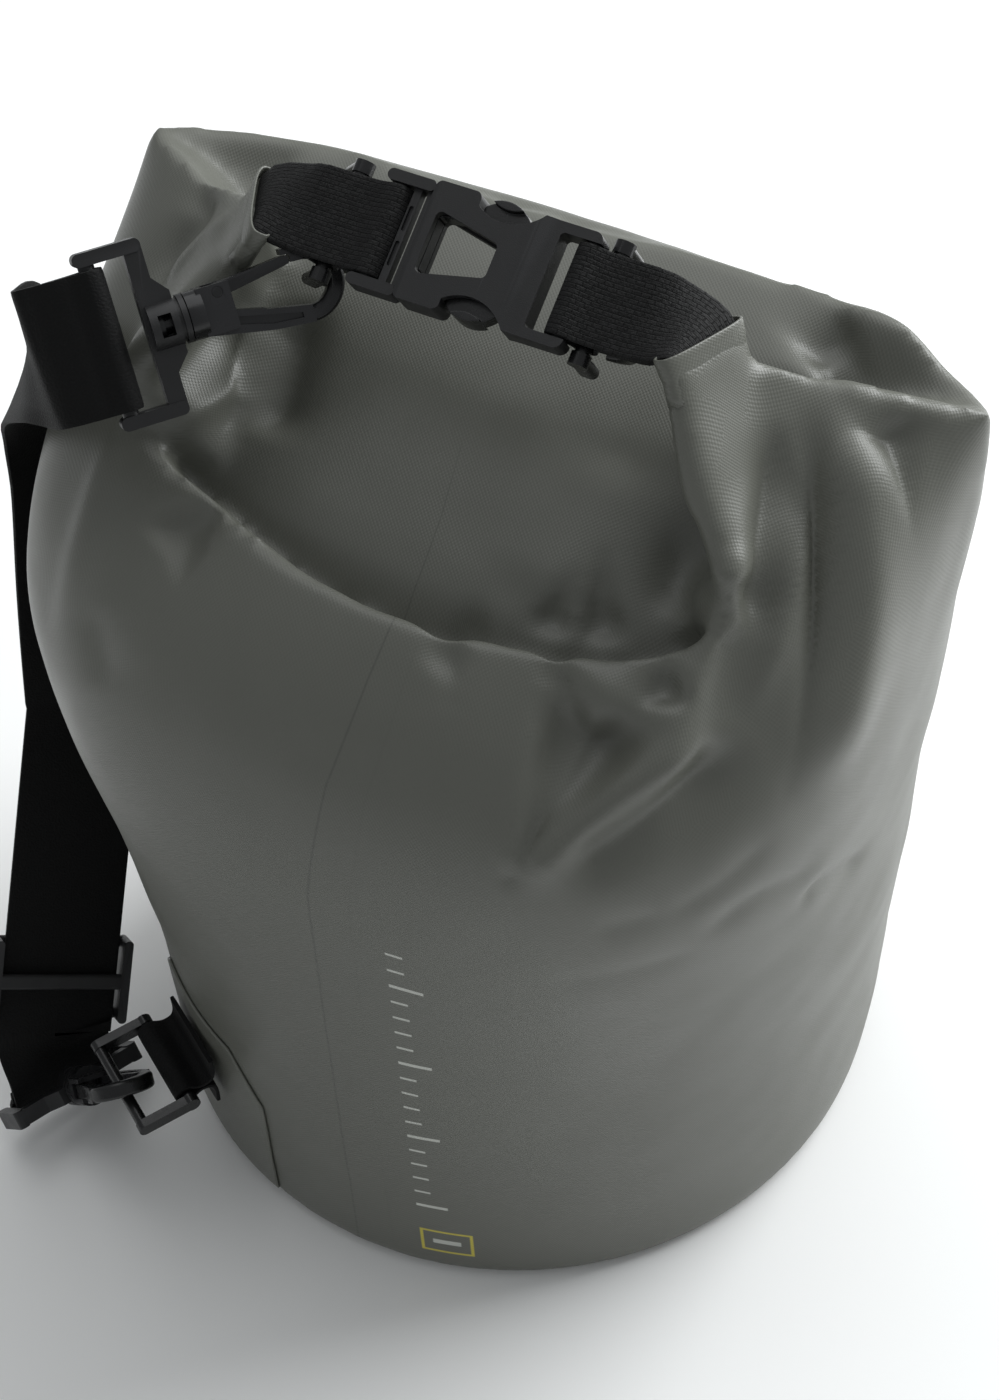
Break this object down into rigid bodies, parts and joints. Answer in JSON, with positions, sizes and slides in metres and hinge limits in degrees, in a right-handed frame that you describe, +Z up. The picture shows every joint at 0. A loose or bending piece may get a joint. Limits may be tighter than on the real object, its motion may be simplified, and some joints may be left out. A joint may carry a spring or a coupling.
{
  "type": "roll-top dry bag",
  "caption": "Waterproof roll-top dry bag rolled shut, with a side-release buckle handle and a detachable shoulder strap on swivel snap hooks.",
  "frame": {"origin": "centre of the round base, on the floor that the bag stands on", "axes": "+Z up, -Y to the welded front seam, +X to the right seen from the front"},
  "size_m": [0.2841, 0.2511, 0.3417],
  "materials": {
    "coated_fabric": "satin coated fabric",
    "webbing": "woven",
    "plastic": "fine texture",
    "stiffener": "matte"
  },
  "bodies": {
    "bag": {"body_tube": "coated_fabric", "base_disc": "coated_fabric", "rolled_top": "coated_fabric", "mouth_stiffener": "stiffener", "closure_webbing_left": "webbing", "closure_webbing_right": "webbing", "buckle_female": "plastic", "buckle_male": "plastic", "d_ring_left": "plastic", "upper_strap_frame": "plastic", "shoulder_strap": "webbing", "lower_strap_frame": "plastic", "anchor_ring": "plastic", "anchor_loop": "webbing", "anchor_patch": "coated_fabric"},
    "arm_front": {"buckle_arm_front": "plastic"},
    "arm_back": {"buckle_arm_back": "plastic"},
    "right_ring": {"d_ring_right": "plastic"},
    "upper_snap": {"upper_hook": "plastic"},
    "upper_gate": {"upper_hook_gate": "plastic"},
    "lower_snap": {"lower_hook": "plastic"},
    "lower_gate": {"lower_hook_gate": "plastic"},
    "slider": {"strap_slider": "plastic"}
  },
  "joints": [
    {"name": "arm_front_press", "type": "hinge", "parent": "bag", "child": "arm_front", "pos_m": [-0.0114, -0.01189, 0.32426], "axis": [0, -0.515, 0.8572], "range_deg": [0, 8], "stiffness_Nm_per_rad": 0.3},
    {"name": "arm_back_press", "type": "hinge", "parent": "bag", "child": "arm_back", "pos_m": [-0.0114, 0.00389, 0.33374], "axis": [0, 0.515, -0.8572], "range_deg": [0, 8], "stiffness_Nm_per_rad": 0.3},
    {"name": "right_ring_swing", "type": "hinge", "parent": "bag", "child": "right_ring", "pos_m": [0.0373, -0.00204, 0.32574], "axis": [0, 0.8572, 0.515], "range_deg": [-52, 35]},
    {"name": "upper_snap_swivel", "type": "hinge", "parent": "bag", "child": "upper_snap", "pos_m": [-0.04469, -0.01366, 0.31215], "axis": [-0.6653, -0.7463, -0.02], "range_deg": [0, 20]},
    {"name": "upper_gate_press", "type": "hinge", "parent": "upper_snap", "child": "upper_gate", "pos_m": [-0.06236, -0.02947, 0.31517], "axis": [-0.5847, 0.5375, -0.6077], "range_deg": [0, 16], "stiffness_Nm_per_rad": 0.05},
    {"name": "lower_snap_swivel", "type": "hinge", "parent": "bag", "child": "lower_snap", "pos_m": [-0.07902, -0.12095, 0.04842], "axis": [-0.6602, 0.2063, -0.7221], "range_deg": [-10, 10]},
    {"name": "lower_gate_press", "type": "hinge", "parent": "lower_snap", "child": "lower_gate", "pos_m": [-0.09686, -0.11967, 0.03255], "axis": [-0.5348, 0.546, 0.6449], "range_deg": [0, 11], "stiffness_Nm_per_rad": 0.05},
    {"name": "slider_slide", "type": "slide", "parent": "bag", "child": "slider", "axis": [-0.155, 0.6297, 0.7612], "range_m": [0, 0.05]}
  ]
}
